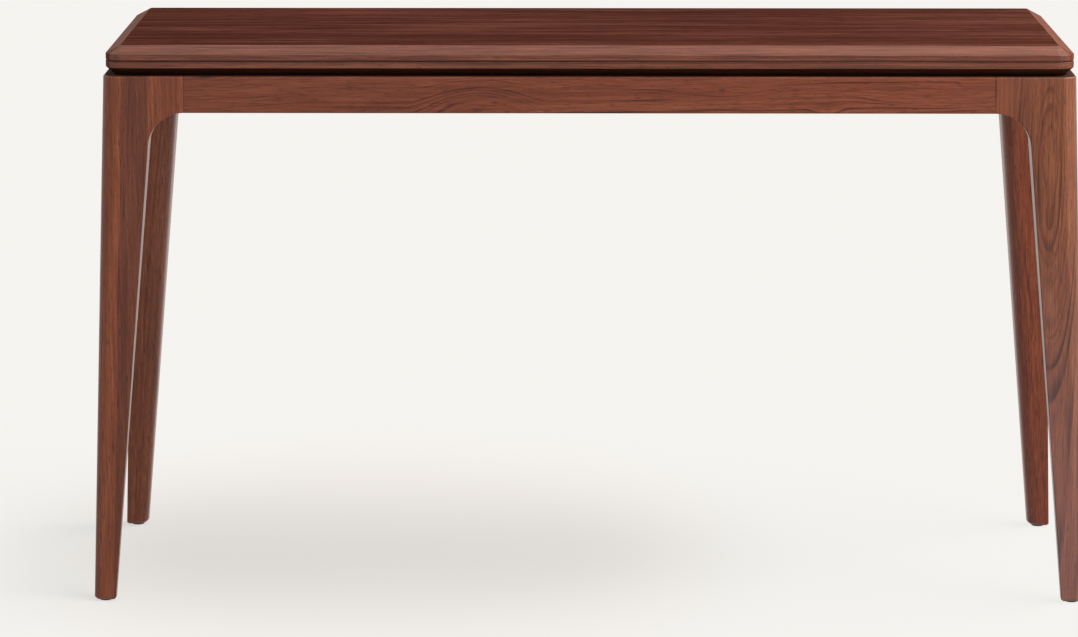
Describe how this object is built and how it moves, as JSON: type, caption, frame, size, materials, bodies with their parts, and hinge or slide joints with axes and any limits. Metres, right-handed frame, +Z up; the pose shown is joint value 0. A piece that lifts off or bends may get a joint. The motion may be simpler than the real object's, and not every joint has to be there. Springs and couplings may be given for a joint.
{
  "type": "extending console table",
  "caption": "Walnut console table on splayed tapered legs, with a bevelled double top that slides forward and folds open to twice its depth.",
  "frame": {"origin": "on the floor, below the middle of the closed table", "axes": "+X along the length towards the right seen from the front, +Y towards the rear, +Z up"},
  "size_m": [1.3498, 0.46, 0.762],
  "materials": {
    "frame_walnut": "satin lacquered solid walnut",
    "lipping_walnut": "satin lacquered solid walnut",
    "veneered_panel": "satin lacquered walnut veneer",
    "inner_hardwood": "plain sanded hardwood",
    "dowel_beech": "fluted beech",
    "rail_aluminium": "anodised extrusion",
    "runner_nylon": "machined nylon",
    "buffer_rubber": "moulded rubber",
    "pad_felt": "pressed felt",
    "glide_nylon": "moulded nylon",
    "hinge_brass": "satin brass",
    "fixing_steel": "zinc plated steel"
  },
  "bodies": {
    "frame": {"apron_dowels": "dowel_beech", "apron_front": "frame_walnut", "apron_left": "frame_walnut", "apron_rear": "frame_walnut", "apron_right": "frame_walnut", "corner_block_front_left": "inner_hardwood", "corner_block_front_right": "inner_hardwood", "corner_block_rear_left": "inner_hardwood", "corner_block_rear_right": "inner_hardwood", "corner_block_screws": "fixing_steel", "cross_rail_centre": "inner_hardwood", "cross_rail_dowels": "dowel_beech", "cross_rail_left": "inner_hardwood", "cross_rail_right": "inner_hardwood", "foot_glide_front_left": "glide_nylon", "foot_glide_front_right": "glide_nylon", "foot_glide_rear_left": "glide_nylon", "foot_glide_rear_right": "glide_nylon", "hanger_bolts": "fixing_steel", "hanger_nuts": "fixing_steel", "hanger_washers": "fixing_steel", "leg_front_left": "frame_walnut", "leg_front_right": "frame_walnut", "leg_rear_left": "frame_walnut", "leg_rear_right": "frame_walnut", "rail_buffers": "buffer_rubber", "slide_pad_front": "pad_felt", "slide_pad_rear": "pad_felt", "slide_rail_left": "rail_aluminium", "slide_rail_right": "rail_aluminium", "slide_rail_screws": "fixing_steel"},
    "lower_leaf": {"hinge_lower_centre": "hinge_brass", "hinge_lower_left": "hinge_brass", "hinge_lower_right": "hinge_brass", "hinge_lower_screws": "fixing_steel", "hinge_pin_centre": "hinge_brass", "hinge_pin_left": "hinge_brass", "hinge_pin_right": "hinge_brass", "lower_leaf_lipping_front": "lipping_walnut", "lower_leaf_lipping_left": "lipping_walnut", "lower_leaf_lipping_rear": "lipping_walnut", "lower_leaf_lipping_right": "lipping_walnut", "lower_leaf_panel": "veneered_panel", "runner_screws": "fixing_steel", "slide_runner_left": "runner_nylon", "slide_runner_right": "runner_nylon"},
    "upper_leaf": {"hinge_upper_centre": "hinge_brass", "hinge_upper_left": "hinge_brass", "hinge_upper_right": "hinge_brass", "hinge_upper_screws": "fixing_steel", "upper_leaf_lipping_front": "lipping_walnut", "upper_leaf_lipping_left": "lipping_walnut", "upper_leaf_lipping_rear": "lipping_walnut", "upper_leaf_lipping_right": "lipping_walnut", "upper_leaf_panel": "veneered_panel"}
  },
  "joints": [
    {"name": "top_slide", "type": "slide", "parent": "frame", "child": "lower_leaf", "axis": [0, -1, 0], "range_m": [0, 0.227]},
    {"name": "leaf_fold", "type": "hinge", "parent": "lower_leaf", "child": "upper_leaf", "pos_m": [0, 0.2273, 0.7426], "axis": [-1, 0, 0], "range_deg": [0, 180]}
  ]
}
